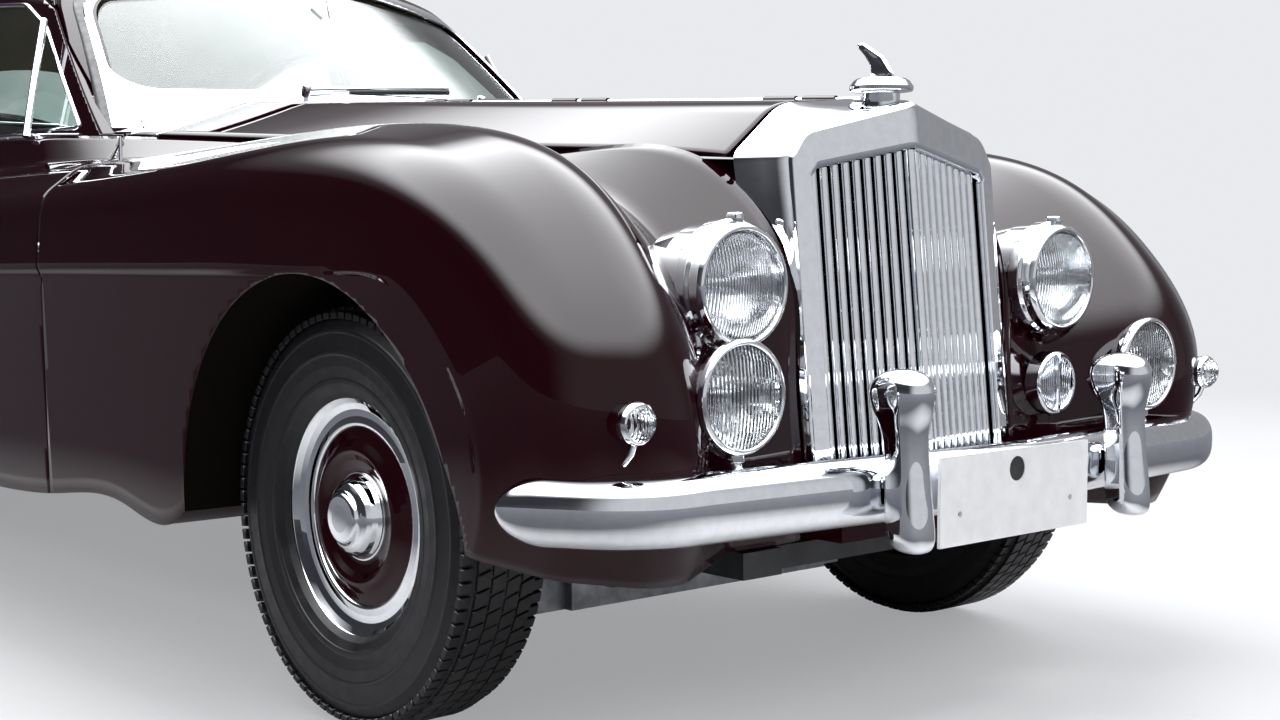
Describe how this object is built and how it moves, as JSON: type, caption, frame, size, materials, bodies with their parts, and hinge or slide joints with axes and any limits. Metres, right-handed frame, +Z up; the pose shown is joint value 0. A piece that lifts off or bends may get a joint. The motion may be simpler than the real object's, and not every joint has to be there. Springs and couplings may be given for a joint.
{
  "type": "two-door fastback grand touring car",
  "caption": "Two-door 1950s fastback touring car with upright radiator, separate lamps, chrome bumpers, opening doors, bonnet and boot, steered front wheels.",
  "frame": {"origin": "on the ground under the middle of the car's length and width", "axes": "+X towards the front of the car, +Y to its left, +Z up"},
  "size_m": [5.2438, 1.816, 1.6077],
  "materials": {
    "paint": "gloss",
    "chrome": "polished",
    "glass": "clear",
    "red_lens": "gloss",
    "plate": "gloss",
    "chassis_black": "satin",
    "steel": "satin",
    "engine_iron": "satin",
    "veneer": "varnished",
    "black_plastic": "gloss",
    "hide": "grained",
    "wheel_paint": "gloss",
    "tyre": "matt"
  },
  "bodies": {
    "car_body": {"front_wing_left": "paint", "front_wing_right": "paint", "rear_wing_left": "paint", "rear_wing_right": "paint", "roof": "paint", "scuttle": "paint", "screen_frame": "chrome", "windscreen_glass": "glass", "rear_glass": "glass", "quarter_glass": "glass", "bonnet_rod": "chrome", "boot_hinge": "steel", "tail_panel": "paint", "radiator_shell": "chrome", "radiator_grille": "chrome", "radiator_cap": "chrome", "headlamps": "chrome", "headlamp_lenses": "glass", "fog_lamps": "chrome", "side_lamps": "chrome", "horn_grilles": "chrome", "tail_lamps": "red_lens", "front_bumper": "chrome", "front_plate": "plate", "rear_bumper": "chrome", "rear_plate": "plate", "front_valance": "paint", "chassis_frame": "chassis_black", "floor_pan": "chassis_black", "engine": "engine_iron", "propshaft": "steel", "exhaust": "steel", "fuel_tank": "chassis_black", "front_suspension": "steel", "rear_axle": "steel", "dashboard": "veneer", "steering_wheel": "black_plastic", "front_seats": "hide", "rear_seat": "hide", "aerial": "chrome", "wipers": "chrome"},
    "right_door": {"door_right": "paint", "door_glass_right": "glass"},
    "left_door": {"door_left": "paint", "door_glass_left": "glass"},
    "right_bonnet": {"bonnet_right": "paint"},
    "left_bonnet": {"bonnet_left": "paint"},
    "boot": {"boot_lid": "paint"},
    "right_knuckle": {"knuckle_right": "steel"},
    "left_knuckle": {"knuckle_left": "steel"},
    "front_right_wheel": {"wheel_front_right": "wheel_paint", "tyre_front_right": "tyre"},
    "front_left_wheel": {"wheel_front_left": "wheel_paint", "tyre_front_left": "tyre"},
    "rear_right_wheel": {"wheel_rear_right": "wheel_paint", "tyre_rear_right": "tyre"},
    "rear_left_wheel": {"wheel_rear_left": "wheel_paint", "tyre_rear_left": "tyre"}
  },
  "joints": [
    {"name": "steer_right", "type": "hinge", "parent": "car_body", "child": "right_knuckle", "pos_m": [1.7525, -0.66, 0.365], "axis": [0, 0, 1], "range_deg": [-32, 32]},
    {"name": "steer_left", "type": "hinge", "parent": "car_body", "child": "left_knuckle", "pos_m": [1.7525, 0.66, 0.365], "axis": [0, 0, 1], "range_deg": [-32, 32]},
    {"name": "spin_front_right", "type": "hinge", "parent": "right_knuckle", "child": "front_right_wheel", "pos_m": [1.7525, -0.72, 0.365], "axis": [0, 1, 0], "continuous": true},
    {"name": "spin_front_left", "type": "hinge", "parent": "left_knuckle", "child": "front_left_wheel", "pos_m": [1.7525, 0.72, 0.365], "axis": [0, 1, 0], "continuous": true},
    {"name": "spin_rear_right", "type": "hinge", "parent": "car_body", "child": "rear_right_wheel", "pos_m": [-1.2955, -0.743, 0.365], "axis": [0, 1, 0], "continuous": true},
    {"name": "spin_rear_left", "type": "hinge", "parent": "car_body", "child": "rear_left_wheel", "pos_m": [-1.2955, 0.743, 0.365], "axis": [0, 1, 0], "continuous": true},
    {"name": "door_right_open", "type": "hinge", "parent": "car_body", "child": "right_door", "pos_m": [0.8005, -0.845, 0.6], "axis": [0, 0, 1], "range_deg": [0, 65]},
    {"name": "door_left_open", "type": "hinge", "parent": "car_body", "child": "left_door", "pos_m": [0.8005, 0.845, 0.6], "axis": [0, 0, -1], "range_deg": [0, 65]},
    {"name": "bonnet_right_open", "type": "hinge", "parent": "car_body", "child": "right_bonnet", "pos_m": [1.7525, 0, 1.1158], "axis": [-0.9987, 0, 0.0509], "range_deg": [0, 60]},
    {"name": "bonnet_left_open", "type": "hinge", "parent": "car_body", "child": "left_bonnet", "pos_m": [1.7525, 0, 1.1158], "axis": [0.9987, 0, -0.0509], "range_deg": [0, 60]},
    {"name": "boot_open", "type": "hinge", "parent": "car_body", "child": "boot", "pos_m": [-1.8695, 0, 1.14483], "axis": [0, 1, 0], "range_deg": [0, 60]}
  ],
  "couplings": [
    {"joint": "steer_left", "follows": "steer_right", "ratio": 1}
  ]
}
